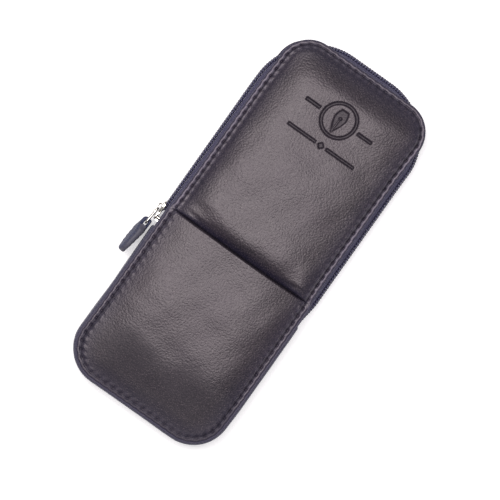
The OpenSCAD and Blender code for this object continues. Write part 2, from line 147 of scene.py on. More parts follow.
def spaced(stops):
    """Positions with a wanted spacing in each stretch: stops are [start, (end, spacing), ...]."""
    out = [stops[0]]
    for end, step in stops[1:]:
        n = max(1, round(abs(end - out[-1]) / step))
        out.extend(np.linspace(out[-1], end, n + 1)[1:])
    return np.array(out)


def waves(x, y, rows):
    """A sum of long sine waves: each row is amplitude, wavelength, direction in degrees and phase."""
    total = np.zeros_like(np.asarray(x, float))
    for amplitude, wavelength, direction, phase in rows:
        turn = math.radians(direction)
        total += amplitude * np.sin(TAU * (x * math.cos(turn) + y * math.sin(turn)) / wavelength + phase)
    return total


def u_length(w, y0, y1, r):
    return 2 * (abs(y1 - y0) - r) + math.pi * r + 2 * (w - r)


def inset_seam(seam, inset):
    """The U that runs inside another one, at a distance from it."""
    w, start, end, r = seam
    return w - inset, start, end - np.sign(end - start) * inset, r - inset


def u_path(w, y0, y1, r, s):
    """Places and outward normals at lengths s along a U that starts at (-w, y0) and turns at y1."""
    s = np.asarray(s, float)
    d = np.sign(y1 - y0)
    side, arc, across = abs(y1 - y0) - r, math.pi * r / 2, 2 * (w - r)
    a = clamp(s - side, 0, arc) / r
    b = clamp(s - side - arc - across, 0, arc) / r
    turn = a + b
    nx, ny = -np.cos(turn), d * np.sin(turn)
    along = clamp(s - side - arc, 0, across)
    x = -(w - r) + along + r * nx
    y = y1 - d * r + r * ny
    y = y - d * np.clip(side - s, 0, None) - d * np.clip(s - side - 2 * arc - across, 0, None)
    return x, y, nx, ny


def inside(x, y, w, y0, y1, r0, r1):
    """Distance inwards from a rounded rectangle's outline, with radius r0 at y0 and r1 at y1."""
    high = y > (y0 + y1) / 2
    r = np.where(high, r1, r0)
    to_end = np.where(high, y1 - y, y - y0)
    to_side = w - np.abs(x)
    corner = (to_side < r) & (to_end < r)
    round_d = r - np.hypot(r - to_side, r - to_end)
    return np.where(corner, round_d, np.minimum(to_side, to_end))


def seam_place(x, y, w, y0, y1, r):
    """How far along a U each point is, where the U starts at (-w, y0) and turns at y1."""
    d = np.sign(y1 - y0)
    side, arc, across = abs(y1 - y0) - r, math.pi * r / 2, 2 * (w - r)
    v = d * (y - y0) - side
    turn = np.arctan2(np.clip(v, 0, None), np.clip(np.abs(x) - (w - r), 1e-9, None))
    left = np.where(v < 0, side + v, np.where(np.abs(x) < w - r, side + arc + (x + w - r), side + turn * r))
    total = 2 * side + 2 * arc + across
    mirrored = np.where(v < 0, side + v, side + turn * r)
    return np.where((x > 0) & ((v < 0) | (np.abs(x) >= w - r)), total - mirrored, left)


def polygon_distance(x, y, corners):
    """Signed distance to a polygon, negative inside."""
    best = np.full(x.shape, 1e9)
    odd = np.zeros(x.shape, bool)
    for (ax, ay), (bx, by) in zip(corners, corners[1:] + corners[:1]):
        ex, ey = bx - ax, by - ay
        t = clamp(((x - ax) * ex + (y - ay) * ey) / (ex * ex + ey * ey))
        best = np.minimum(best, np.hypot(x - ax - t * ex, y - ay - t * ey))
        crosses = (ay > y) != (by > y)
        odd ^= crosses & (x < ax + (y - ay) / (ey if ey else 1e-9) * ex)
    return np.where(odd, -best, best)


# ---- Meshes ----


class Parts:
    """Vertices, faces and UVs gathered from several closed or open shapes into one mesh."""

    def __init__(self):
        self.verts, self.faces, self.uvs, self.count = [], [], [], 0

    def add(self, verts, faces, uv=None):
        verts = np.asarray(verts, float).reshape(-1, 3)
        self.verts.append(verts)
        self.faces.extend([[i + self.count for i in face] for face in faces])
        self.uvs.append(np.zeros((len(verts), 2)) if uv is None else np.asarray(uv, float).reshape(-1, 2))
        self.count += len(verts)
        return self


def settle(verts):
    """A hand-sewn case isn't quite even: its top leans a little to the right, its foot to the left."""
    x, y, z = verts.T
    return xyz(x + 0.6 * smooth(y, 50, 72) - 0.45 * smooth(-y, 52, 72), y, z)


def add_object(name, data):
    obj = bpy.data.objects.new(name, data)
    bpy.context.scene.collection.objects.link(obj)
    return obj


def make(name, parts, material, body=None, replaces=(), marks=None):
    """A mesh object from Parts, riding on a body unless that is None."""
    mesh = bpy.data.meshes.new(name)
    verts = settle(np.concatenate(parts.verts)) * MM
    mesh.from_pydata(verts.tolist(), [], parts.faces)
    mesh.update()
    layer = mesh.uv_layers.new(name="UVMap")
    uv = np.concatenate(parts.uvs)
    index = np.zeros(len(mesh.loops), np.int32)
    mesh.loops.foreach_get("vertex_index", index)
    layer.data.foreach_set("uv", uv[index].astype(np.float32).ravel())
    for key, values in (marks or {}).items():
        attribute = mesh.attributes.new(key, "FLOAT", "POINT")
        attribute.data.foreach_set("value", np.asarray(values, np.float32))
    mesh.polygons.foreach_set("use_smooth", [True] * len(mesh.polygons))
    mesh.materials.append(material)
    obj = add_object(name, mesh)
    if replaces:
        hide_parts(*replaces)
    if body:
        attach(obj, body)
    return obj


def crease_blend(obj):
    """Bakes a piece's placement into its mesh."""
    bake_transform(obj)


def grid_faces(rows, columns, wrap=False, flip=False):
    """Faces over a grid of points. With wrap, the last column joins the first."""
    faces = []
    for i in range(rows - 1):
        for j in range(columns if wrap else columns - 1):
            k = (j + 1) % columns
            face = [i * columns + j, i * columns + k, (i + 1) * columns + k, (i + 1) * columns + j]
            faces.append(face[::-1] if flip else face)
    return faces


def loft(rings):
    """A skin through rings of points, all with the same count, closed at both ends."""
    rings = np.asarray(rings, float)
    rows, columns = rings.shape[:2]
    faces = grid_faces(rows, columns, wrap=True)
    faces += [list(range(columns))[::-1], [(rows - 1) * columns + k for k in range(columns)]]
    steps = np.linalg.norm(np.diff(rings, axis=1), axis=2)
    across = np.concatenate([np.zeros((rows, 1)), np.cumsum(steps, 1)], 1)
    ahead = np.linalg.norm(np.diff(rings, axis=0), axis=2).mean(1)
    along = np.concatenate([[0], np.cumsum(ahead)])
    uv = np.stack([np.broadcast_to(along[:, None], across.shape), across], 2)
    return rings.reshape(-1, 3), faces, uv.reshape(-1, 2)


def tube(path, radius, sides, up=(0, 0, 1)):
    """A tube along a path, where radius is one number or one for each point."""
    path = np.asarray(path, float)
    radii = np.broadcast_to(np.asarray(radius, float), len(path))
    ahead = np.roll(path, -1, 0) - np.roll(path, 1, 0)
    ahead[0], ahead[-1] = path[1] - path[0], path[-1] - path[-2]
    ahead = unit(ahead)
    side = np.cross(ahead, np.broadcast_to(np.asarray(up, float), ahead.shape))
    weak = np.linalg.norm(side, axis=1) < 0.15
    side[weak] = np.cross(ahead[weak], [0.31, 0.95, 0.0])
    side = unit(side)
    over = np.cross(side, ahead)
    turn = np.arange(sides) * TAU / sides
    rings = side[:, None] * np.cos(turn)[:, None] + over[:, None] * np.sin(turn)[:, None]
    verts, faces = loft(path[:, None] + rings * radii[:, None, None])[:2]
    along = np.concatenate([[0], np.cumsum(np.linalg.norm(np.diff(path, axis=0), axis=1))])
    return verts, faces, np.stack([np.repeat(along, sides), np.tile(turn, len(path))], 1)


def rounded_slab(loop, z0, z1, bevel, steps=3):
    """A flat plate with rounded edges on a closed 2-D loop that runs anticlockwise."""
    ahead = np.roll(loop, -1, 0) - np.roll(loop, 1, 0)
    normal = unit(np.column_stack([ahead[:, 1], -ahead[:, 0]]))
    turn = np.linspace(0, math.pi / 2, steps + 1)
    inset, lift = bevel * (1 - np.sin(turn)), bevel * (1 - np.cos(turn))
    levels = [*zip(inset, z0 + lift), *zip(inset[::-1], z1 - lift[::-1])]
    return loft([xyz(*(loop - normal * a).T, z) for a, z in levels])


# ---- Materials ----


class Shader:
    """A material's node tree, with short calls to add nodes and join them."""

    def __init__(self, name):
        self.material = bpy.data.materials.new(name)
        self.material.use_nodes = True
        self.tree = self.material.node_tree
        self.surface = self.tree.nodes["Principled BSDF"]

    def put(self, socket, value):
        """Joins a node's output to an input, or sets the input to a number, a vector or a colour."""
        if isinstance(value, bpy.types.NodeSocket):
            self.tree.links.new(value, socket)
        else:
            socket.default_value = (*value, 1) if socket.type == "RGBA" else value

    def node(self, kind, inputs=None, **settings):
        node = self.tree.nodes.new(kind)
        for key, value in settings.items():
            setattr(node, key, value)
        for key, value in (inputs or {}).items():
            self.put(node.inputs[key], value)
        return node

    def math(self, operation, a, b=0.0, limit=False):
        return self.node("ShaderNodeMath", {0: a, 1: b}, operation=operation, use_clamp=limit).outputs[0]

    def times(self, a, b, limit=False):
        return self.math("MULTIPLY", a, b, limit)

    def weigh(self, a, b, share):
        """A blend of two numbers, with the share that the second one has."""
        return self.math("ADD", self.times(a, 1 - share), self.times(b, share))

    def place(self, source="Object"):
        """Coordinates in millimetres, from the object or from UVs that already are in millimetres."""
        out = self.node("ShaderNodeTexCoord").outputs[source]
        factor = 1 / MM if source == "Object" else 1
        return self.node("ShaderNodeMapping", {"Vector": out, "Scale": [factor] * 3}).outputs[0]

    def noise(self, place, scale, detail, roughness=0.5):
        inputs = {"Vector": place, "Scale": scale, "Detail": detail, "Roughness": roughness}
        return self.node("ShaderNodeTexNoise", inputs).outputs["Fac"]

    def cells(self, place, scale):
        inputs = {"Vector": place, "Scale": scale}
        return self.node("ShaderNodeTexVoronoi", inputs, feature="SMOOTH_F1").outputs["Distance"]

    def mark(self, name):
        """A number that make() stored on every point of the mesh."""
        return self.node("ShaderNodeAttribute", attribute_name=name).outputs["Fac"]

    def mix(self, amount, a, b):
        return self.node("ShaderNodeMix", {0: amount, 6: a, 7: b}, data_type="RGBA").outputs[2]

    def between(self, value, low, high, start=0.0, end=1.0):
        """Maps start..end to low..high."""
        inputs = {"Value": value, "From Min": start, "From Max": end, "To Min": low, "To Max": high}
        return self.node("ShaderNodeMapRange", inputs).outputs[0]

    def bump(self, height, distance, strength, under=None):
        inputs = {"Height": height, "Distance": distance * MM, "Strength": strength}
        if under is not None:
            inputs["Normal"] = under
        return self.node("ShaderNodeBump", inputs).outputs[0]

    def done(self, **inputs):
        """Sets the surface's inputs, named with _ for each space."""
        for key, value in inputs.items():
            self.put(self.surface.inputs[key.replace("_", " ")], value)
        return self.material


# The colours: dark for the edge paint and for painted shade; navy for the edge paint and for a painted navy
# shade on slopes; and the grain's light flecks.
EDGE_PAINT_AND_SHADE_DARK, NAVY_DYE_AND_SHADE, SPECK = (0.005, 0.0045, 0.010), (0.026, 0.026, 0.058), (0.125, 0.100, 0.108)


def leather(name, dark, light, edge, rough=(0.42, 0.56), marks=True, speck=0.0, **fixed):
    """Smooth nappa with fine pores and soft mottling. By its marks, it is lighter where it is worn and where
    a ridge has a painted highlight, darker and duller on its edge paint and in painted shade in the mark, the
    crease and the ends, and navy on its edge paint and in a painted navy shade on slopes."""
    s = Shader(name)
    place = s.place()
    mottle = s.noise(place, 0.055, 4, 0.6)
    fine = s.noise(place, 1.4, 1)
    pores = s.cells(place, 2.3)
    pebble = s.cells(place, 1.2)
    colour = s.mix(s.between(s.weigh(mottle, fine, 0.6), -1.4, 2.4), dark, light)
    roughness = s.between(s.weigh(fine, mottle, 0.3), *rough)
    if marks:
        wear_and_highlight, edge_paint_and_shade, dye_and_shade = (s.mark(key) for key in ("wear_and_highlight", "edge_paint_and_shade", "dye_and_shade"))
        # Marks: lighter for wear and for a painted highlight on ridges, dark for edge paint and painted
        # shade, navy for edge paint and a painted navy shade.
        colour = s.mix(s.times(wear_and_highlight, s.between(fine, 0.6, 1.25), True), colour, edge)
        colour = s.mix(s.times(edge_paint_and_shade, 0.8), colour, EDGE_PAINT_AND_SHADE_DARK)
        colour = s.mix(dye_and_shade, colour, NAVY_DYE_AND_SHADE)
        roughness = s.math("MAXIMUM", roughness, s.times(edge_paint_and_shade, 0.9))
    if speck:
        dots = s.between(pores, speck, 0, 0.08, 0.34)
        colour = s.mix(dots, colour, SPECK)
    normal = s.bump(fine, 0.11, 1.0)
    normal = s.bump(pebble, 0.04, 0.9, normal)
    normal = s.bump(pores, 0.02, 0.8, normal)
    return s.done(Base_Color=colour, Roughness=roughness, Normal=normal, **fixed)


def woven(name, dark, light, pitch, source="UV", depth=0.12, **fixed):
    """A plain weave: two crossed sets of threads, each over and under the other."""
    s = Shader(name)
    place = s.place(source)
    split = s.node("ShaderNodeSeparateXYZ", {0: place})
    u, v = (s.times(split.outputs[k], math.pi / pitch) for k in (0, 1))
    cross = s.times(s.math("SINE", u), s.math("SINE", v))
    hills = s.times(*(s.math("ABSOLUTE", s.math("COSINE", k)) for k in (u, v)))
    weave = s.weigh(cross, hills, 0.5)
    fuzz = s.noise(place, 3.0, 4, 0.7)
    colour = s.mix(s.between(s.times(s.math("ADD", weave, fuzz), 0.6), 0, 1), dark, light)
    normal = s.bump(s.math("ADD", weave, s.times(fuzz, 0.35)), depth, 0.9)
    return s.done(Base_Color=colour, Roughness=0.85, Normal=normal, Sheen_Weight=0.04, Sheen_Roughness=0.5,
                  **fixed)


def plain(name, dark, light, rough, scale, bump, **fixed):
    """A solid material with slight mottling, scratches or flecks at one scale."""
    s = Shader(name)
    place = s.place()
    fine = s.noise(place, scale, 4, 0.6)
    broad = s.noise(place, scale * 0.12, 3)
    return s.done(Base_Color=s.mix(fine, dark, light), Roughness=s.between(s.weigh(fine, broad, 0.5), *rough),
                  Normal=s.bump(fine, bump, 0.7), **fixed)


OUTER = leather("outer_leather", (0.005, 0.0035, 0.007), (0.019, 0.0135, 0.021), (0.098, 0.084, 0.118),
                rough=(0.34, 0.50), speck=0.5, Specular_IOR_Level=0.45, Specular_Tint=(1.0, 0.92, 0.955))
GUSSET = leather("gusset_leather", (0.010, 0.009, 0.024), (0.022, 0.020, 0.046), (0.06, 0.058, 0.095),
                 Specular_IOR_Level=0.35)
TAB = leather("tab_leather", (0.014, 0.018, 0.048), (0.030, 0.035, 0.082), (0.085, 0.082, 0.10),
              rough=(0.48, 0.58), Specular_IOR_Level=0.25)
DIVIDER = leather("divider_leather", (0.02, 0.016, 0.021), (0.035, 0.028, 0.032), (0.07, 0.06, 0.08),
                marks=False)
TAPE = woven("zip_tape_weave", (0.018, 0.015, 0.040), (0.062, 0.055, 0.125), 0.42, Specular_IOR_Level=0.2)
LINING = woven("lining_cloth", (0.010, 0.010, 0.014), (0.032, 0.032, 0.045), 0.36, source="Object",
               depth=0.07)
ELASTIC = woven("elastic_ribs", (0.008, 0.008, 0.011), (0.035, 0.035, 0.045), 0.75, depth=0.2)
COIL = plain("coil_nylon", (0.048, 0.046, 0.095), (0.085, 0.082, 0.155), (0.26, 0.38), 2.5, 0.015,
             Specular_IOR_Level=0.7)
THREAD = plain("seam_thread", (0.026, 0.022, 0.036), (0.055, 0.048, 0.07), (0.5, 0.7), 6.0, 0.05,
               Sheen_Weight=0.15)
NICKEL = plain("nickel_plate", (0.50, 0.48, 0.43), (0.66, 0.64, 0.59), (0.14, 0.26), 1.6, 0.006, Metallic=1.0)
LINK_METAL = plain("link_wire", (0.30, 0.29, 0.27), (0.44, 0.42, 0.39), (0.22, 0.34), 2.2, 0.006,
                   Metallic=1.0)
FOAM = plain("foam_cells", (0.62, 0.6, 0.52), (0.85, 0.83, 0.76), (0.85, 0.95), 2.2, 0.3)
BOARD = plain("fibre_board", (0.32, 0.25, 0.17), (0.5, 0.42, 0.31), (0.8, 0.92), 1.4, 0.08)


# ---- The front leather ----

MARK_X, MARK_Y, RULE_Y = 0.7, 59.2, 46.9
BAR_HALF_T, BAR_END = 0.5, 15.8
MARK_DEPTH = 0.7


def front_width(y):
    """Half width of the front's edge: wider on the pocket, a little wider towards the crease on the flap."""
    flap = FLAP_W - 0.2 + 0.6 * np.exp(-np.clip(y - CREASE_Y, 0, None) / 7)
    return flap + (POCKET_W - flap) * smooth(-(y - CREASE_Y), -0.9, 1.3)


def crease_line(x):
    """The crease sags a little to the left of the middle and to the right."""
    return CREASE_Y - 0.35 * np.sin((x + 22) / 24) * (1 - (x / 40) ** 2) + 0.1


def mark_depth(x, y):
    """How far the generic mark is pressed in: a ring with a pen nib in it, and a rule with a lozenge."""
    u, v, low = x - MARK_X, y - MARK_Y, y - RULE_Y
    ring = np.abs(np.hypot(u, v) - 7.1) - 0.5
    flank = [(0.9, -3.6), (1.9, -1.4), (2.5, 0.9), (2.2, 2.7), (1.5, 4.4)]
    nib = polygon_distance(u, v, [(0, -5.6), *flank, *((-a, b) for a, b in flank[::-1])])
    slit = np.maximum(np.abs(u) - 0.2, np.maximum(v - 0.6, -v - 5.2))
    hole = np.hypot(u, v - 0.9) - 0.62
    nib = np.maximum(nib, -np.minimum(slit, hole))
    wings = np.maximum(np.abs(v) - BAR_HALF_T, np.maximum(9.2 - np.abs(u), np.abs(u) - BAR_END))
    rule = np.maximum(np.abs(low) - 0.48, np.maximum(2.6 - np.abs(u), np.abs(u) - BAR_END))
    lozenge = (np.abs(u) + np.abs(low) - 1.35) * 0.7
    return smooth(-np.minimum.reduce([ring, nib, wings, rule, lozenge]), -0.3, 0.22)


def stitch_count(length):
    return math.floor((length - STITCH_FREE_END) / STITCH_PITCH)


def seam_phase(x, y, seam, inset):
    """The place along a seam, and the distance along it to the nearest needle hole."""
    u = inset_seam(seam, inset)
    length = u_length(*u)
    s = seam_place(x, y, *u)
    phase = (s - length / 2) / STITCH_PITCH + stitch_count(length) / 2
    return s, (phase - np.round(phase)) * STITCH_PITCH


def seam_dent(x, y, d, seam, inset=SEAM_INSET):
    """The groove the stitches pull, its needle holes, the wavy lip outside them and the puckers inside."""
    s, hole = seam_phase(x, y, seam, inset)
    swing = np.cos(TAU * hole / STITCH_PITCH)
    off = d - inset
    firm = float(smooth(inset, 1.5, 1.9))
    lip = off + LIP_OFFSET + LIP_SWING * swing
    ridge = 0.20 * (1 - smooth(np.abs(lip), 0.32, 0.64)) * (0.8 - 0.2 * swing)
    outside = 0.16 * smooth(-lip, 0.5, 0.8) + 0.10 * bell(d - 0.45, 0.16) * firm
    groove = 0.10 * bell(off, 0.3)
    slant = hole - PULL * off
    end_soft = 1 - 0.55 * smooth(np.abs(y), 70, 79)
    pits = (0.80 - 0.2 * firm) * bell(off - 0.12, 0.36) * bell(slant, 0.58) * end_soft
    fade = np.exp(-np.clip(off - 0.4, 0, None) / (PUCKER * (0.45 + 0.55 * firm))) * smooth(off, 0.1, 0.6)
    uneven = 1 + 0.35 * np.sin(s / 9.7) + 0.25 * np.sin(s / 5.3 + 2)
    puckers = (0.12 + 0.14 * firm) * bell(slant, 0.75) * fade * uneven
    between = 0.5 - 0.5 * np.cos(TAU * slant / STITCH_PITCH)
    puffs = (0.07 + 0.05 * firm) * between * bell(off - 1.1, 0.9) * uneven
    return ridge + puffs - outside - groove - pits - puckers * end_soft


def front_height(x, y, w, detail=True):
    """Height of the front leather's face above the rim's top, and the distance in from its edge."""
    line = crease_line(x)
    on_flap = y > line
    d = inside(x, y, w, *FRONT_OUTLINE)
    to_side, to_top, to_bottom = w - np.abs(x), TOP_Y - y, y - BOTTOM_Y
    by_flap, by_pocket = smooth(y - line, 3, 11), smooth(line - y, 4, 34)
    right = smooth(x, -12, 12)

    # The padding's swell: out of a shelf along the seam on the flap, from near the seam on the pocket.
    shelf = 0.15 + 0.27 * right * smooth(to_top, 4, 12)
    span = 20 + 3 * smooth(y, 10, 62)
    gentle = ease((to_side - 3.0) / 22, 1.6)
    flap_side = gentle + (ease((to_side - 2.3) / span, 3.0 - 0.9 * right) - gentle) * by_flap
    flap_rise = shelf * smooth(d, SEAM_INSET, 2.2 + 0.9 * right)
    flap_rise += (1 - shelf) * smooth(d, 1.5, 4.6) * flap_side * ease((to_top - 1.7) / 19, 2.3)
    pocket_side = ease((to_side - 2.6) / 22, 1.6 + 0.45 * right + 0.5 * by_pocket)
    pocket_rise = (0.34 + 0.66 * pocket_side) * ease((to_bottom - 1.5) / 7, 2.0)
    pocket_rise *= smooth(d, POCKET_INSET, 3.6)

    # It thins towards the crease and, on the pocket, towards the foot.
    reach = 2.6 + 9.4 * smooth(x, -27.5, -13) * (1 - smooth(x, 8, 31))
    flap = CROWN * flap_rise * ease((y - line) / reach, 4.0)
    pocket = CROWN * pocket_rise * (1.04 - (1 - clamp((to_bottom - 1) / 36)) ** 1.5)
    pocket *= 0.12 + 0.88 * ease(line - y, 2.4)

    # Soft hollows and swells: across the flap above the mark, and beside the crease.
    flap -= 0.40 * bell(to_top - 27, 9) * bell(x, 27)
    flap += 0.42 * bell(to_top - 14.0, 4.4) * bell(x + 1, 22)
    flap += 0.7 * bell(x - 26.5, 5) * bell(y - line - 8, 6)
    for side in (-1, 1):
        flap += 0.55 * bell(x - side * 27.5, 4.2) * bell(y - line - 4.0, 2.4)
        flap -= 0.30 * bell(x - side * 23.5, 4.2) * bell(y - line - 2.2 - 0.12 * (side * x - 20), 1.1)
        pocket += (0.2 + 0.15 * side) * bell(x - side * 27, 5) * bell(line - y - 12, 14)
    high = np.where(on_flap, flap, pocket) + clamp((d - 3) / 8) * waves(x, y, [
        (0.14, 43, 20, 0.4), (0.10, 29, 105, 1.9), (0.05, 17, 62, 4.0), (0.025, 11, 148, 2.2),
        (0.015, 8.5, 85, 0.7)])
    if not detail:
        return high, d
    flap_dent = seam_dent(x * FLAP_W / w, y, d, FLAP_SEAM)
    pocket_dent = seam_dent(x * POCKET_W / w, y, d, POCKET_SEAM, POCKET_INSET)
    high = high + np.where(on_flap, flap_dent, pocket_dent) * smooth(np.abs(y - line), 0.6, 2.4)
    high = high - 0.5 * bell(y - line - 0.15, 0.4) * smooth(d, 0.6, 3.0)
    high = high - MARK_DEPTH * mark_depth(x, y) - 0.2 * bell(x - MARK_X, 13) * bell(y - MARK_Y, 8)
    return high, d


def rounded_grid(xs, ys, w, y0, y1, r0, r1):
    """A grid of points over a rounded rectangle, its corner squares pressed into quarter discs."""
    x, y = np.meshgrid(xs, ys)
    for high, r in ((True, r1), (False, r0)):
        centre = y1 - r if high else y0 + r
        p = (np.abs(x) - (w - r)) / r
        q = (y - centre) / r if high else (centre - y) / r
        corner = (p > 0) & (q > 0)
        p, q = clamp(p), clamp(q)
        u, v = p * np.sqrt(1 - q * q / 2), q * np.sqrt(1 - p * p / 2)
        x = np.where(corner, np.sign(x) * (w - r + r * u), x)
        y = np.where(corner, centre + (r * v if high else -r * v), y)
    return x, y


def panel(parts, x, y, z, roll, up=1.0):
    """Adds a panel's face from grids of places, and rolls its border over through (out, height) steps."""
    rows, columns = x.shape
    first = parts.count
    parts.add(np.stack([x, y, z], 2), grid_faces(rows, columns, flip=up < 0), np.stack([x, y], 2))
    ids = np.arange(rows * columns).reshape(rows, columns)
    loop = np.concatenate([ids[0, :-1], ids[:-1, -1], ids[-1, :0:-1], ids[:0:-1, 0]])
    px, py, pz = (a.ravel()[loop] for a in (x, y, z))
    tx, ty = np.roll(px, -1) - np.roll(px, 1), np.roll(py, -1) - np.roll(py, 1)
    length = np.hypot(tx, ty)
    nx, ny = ty / length, -tx / length
    rings = [xyz(px + nx * out, py + ny * out, pz + up * drop) for out, drop in roll]
    n, start = len(loop), parts.count
    verts = np.concatenate(rings)
    parts.add(verts, [], verts[:, :2])
    ring = (loop + first).tolist()
    for k in range(len(roll)):
        lower = list(range(start + k * n, start + (k + 1) * n))
        for j in range(n):
            i = (j + 1) % n
            face = [ring[j], lower[j], lower[i], ring[i]]
            parts.faces.append(face if up > 0 else face[::-1])
        ring = lower


ROLL = [(0.2, -0.12), (0.32, -0.4), (0.33, -0.75), (0.2, -1.05), (-0.1, -1.22), (-0.8, -1.25), (-2.0, -1.25),
        (-3.4, -1.2)]
CLOTH_EDGE = [(0.0, -0.2), (-1.5, -0.22)]


def with_roll(face, parts, rolled):
    """A mark's values on a panel's face, followed by one value for the whole of its rolled border."""
    return np.concatenate([face.ravel(), np.full(parts.count - face.size, rolled)])


def front_skin():
    """The flap's and the pocket's leather, which are one skin across the crease."""
    xs = mirrored(spaced([0, (17, 0.28), (FLAP_W - 4.5, 0.8), (FLAP_W, 0.2)]))
    ys = spaced([BOTTOM_Y, (BOTTOM_Y + 4.5, 0.2), (CREASE_Y - 6, 0.45), (CREASE_Y - 2.2, 0.35),
                 (CREASE_Y + 2.2, 0.2), (CREASE_Y + 9, 0.4), (44.8, 0.45), (67.6, 0.28), (TOP_Y - 4.5, 0.45),
                 (TOP_Y, 0.2)])
    x, y = rounded_grid(xs, ys, FLAP_W, *FRONT_OUTLINE)
    width = front_width(y)
    x = x * width / FLAP_W
    z, d = front_height(x, y, width)
    above = y - crease_line(x)
    on_flap = above > 0
    overhang = 0.55 * smooth(-above, -0.25, 0.15) * (1 - smooth(-above, 0.15, 2.4)) * smooth(d, 0.6, 3.0)
    parts = Parts()
    panel(parts, x, y + overhang, RIM_Z + z, ROLL)

    # Lighter along the wavy lip outside the stitches, less on the pocket: partly wear, partly a painted
    # highlight on the ridge, with a faint painted highlight on the puffs inside the stitches.
    flap_s, flap_hole = seam_phase(x * FLAP_W / width, y, FLAP_SEAM, SEAM_INSET)
    pocket_s, pocket_hole = seam_phase(x * POCKET_W / width, y, POCKET_SEAM, POCKET_INSET)
    swing = np.cos(TAU * np.where(on_flap, flap_hole, pocket_hole) / STITCH_PITCH)
    s = np.where(on_flap, flap_s, pocket_s)
    lip = np.where(on_flap, SEAM_INSET, POCKET_INSET) - LIP_OFFSET - LIP_SWING * swing
    patchy = 0.8 - 0.15 * swing + 0.12 * np.sin(s / 3.1) + 0.1 * np.sin(s / 7.7 + 1)
    patchy *= 1 - 0.35 * smooth(np.abs(y), 72, 79)
    patchy *= (0.3 + 0.7 * smooth(np.abs(above), 0.3, 1.4)) * np.where(on_flap, 1.0, 0.45)
    wear_and_highlight = patchy * (1 - smooth(np.abs(d - lip), 0.36, 0.68)) + 0.16 * bell(d - lip - 1.8, 0.8) * (1 - swing)

    # Darker along the cut edge, which has edge paint, and with painted shade in the mark, in the crease,
    # towards the foot and at the top.
    # Painted shade in the crease and on the flap's slope just above it.
    valley = bell(above - 0.1, 0.5) * smooth(d, 0.3, 2.0)
    valley += 0.2 * bell(above - 1.6, 1.8) * smooth(d, 3, 14) * on_flap
    edge = smooth(lip - d, 0.45, 0.85)
    # Painted shade where the pocket's foot and the flap's top slope away from the lamp.
    foot = smooth(-y + waves(x, y, [(1.6, 37, 10, 0.5), (0.9, 19, 30, 2.0)]), 39, 66)
    end_shade = foot * (0.78 - 0.2 * smooth(-x, 14, 30)) + 0.55 * smooth(y, 67, 75)
    edge_paint_and_shade = np.maximum.reduce([0.6 * mark_depth(x, y), 0.9 * clamp(valley), 0.65 * edge, 0.9 * end_shade])
    # Navy on the edge paint, and a painted navy shade on the flap's slope by the crease and on the slopes
    # along the border.
    dye_and_shade = np.maximum(0.3 * bell(above - 1.0, 1.6) * on_flap, 0.2 * (1 - smooth(d, 3, 10)))
    dye_and_shade = np.maximum(dye_and_shade, 0.75 * edge)
    rolled = {"wear_and_highlight": 0.1, "edge_paint_and_shade": 0.65, "dye_and_shade": 0.75}
    faces = {"wear_and_highlight": clamp(wear_and_highlight), "edge_paint_and_shade": edge_paint_and_shade, "dye_and_shade": dye_and_shade}
    marks = {key: with_roll(faces[key], parts, rolled[key]) for key in rolled}
    obj = make("front_skin", parts, OUTER, replaces=("flap_leather", "pocket_leather"),
               marks=marks)
    crease_blend(obj)


FOAM_INSET, FOAM_CREASE_INSET, FOAM_DEPTH, FOAM_MIN_T = 4.2, 3.4, 1.35, 0.15


def front_foam(name, node, y0, y1, r0, r1, body):
    """Foam under the front leather: its top follows the leather, and its foot is flat."""
    foot_z = box_mm(node)[0][2]
    low = y0 + (FOAM_INSET if r0 else FOAM_CREASE_INSET)
    high = y1 - (FOAM_INSET if r1 else FOAM_CREASE_INSET)
    w = (POCKET_W if body == "case" else FLAP_W) - FOAM_INSET
    xs, ys = np.linspace(-w, w, 56), np.linspace(low, high, 66)
    x, y = rounded_grid(xs, ys, w, low, high, max(r0 - FOAM_INSET, 1), max(r1 - FOAM_INSET, 1))
    z = front_height(x, y, front_width(y), detail=False)[0]
    parts = Parts()
    panel(parts, x, y, np.maximum(RIM_Z + z - FOAM_DEPTH, foot_z + FOAM_MIN_T), [(0.1, -0.05)])
    ring = parts.verts[-1]
    ring[:, 2] = foot_z
    parts.faces.append(list(range(parts.count - len(ring), parts.count))[::-1])
    obj = make(name, parts, FOAM, body, (node,))


# ---- The back ----


def back_skin():
    xs = mirrored(spaced([0, (BACK_W - 4.5, 1.0), (BACK_W, 0.25)]))
    ys = spaced([BOTTOM_Y, (BOTTOM_Y + 4.5, 0.25), (TOP_Y - 4.5, 0.6), (TOP_Y, 0.25)])
    x, y = rounded_grid(xs, ys, BACK_W, *FRONT_OUTLINE)
    d = inside(x, y, BACK_W, *FRONT_OUTLINE)
    upper, lower = (seam_dent(x, y, d, seam) for seam in BACK_SEAMS)
    rise = ease((d - 1.9) / 7.5, 2.4)
    soft = clamp((d - 2.5) / 5) * (1 - rise) * waves(x, y, [(0.05, 27, 30, 1.0), (0.04, 19, 100, 0.2)])
    high = np.minimum(BACK_RIM_Z * rise + np.where(y > CREASE_Y, upper, lower) + soft, BACK_RIM_Z)
    parts = Parts()
    panel(parts, x, y, BACK_RIM_Z - high, ROLL, up=-1.0)
    # Lighter along the lip outside the stitches: partly wear, partly a painted highlight on the ridge.
    lip = SEAM_INSET - 0.62
    wear_and_highlight = with_roll(0.8 * (1 - smooth(np.abs(d - lip), 0.3, 0.7)), parts, 0.2)
    obj = make("back_skin", parts, OUTER, "case", ("back_leather",), marks={"wear_and_highlight": wear_and_highlight})


# ---- Stitches ----


PLY_OFFSET, PLY_RADIUS = 0.13, 0.17
STITCH_LENGTH, STITCH_DEPTH = 2.5, 0.2


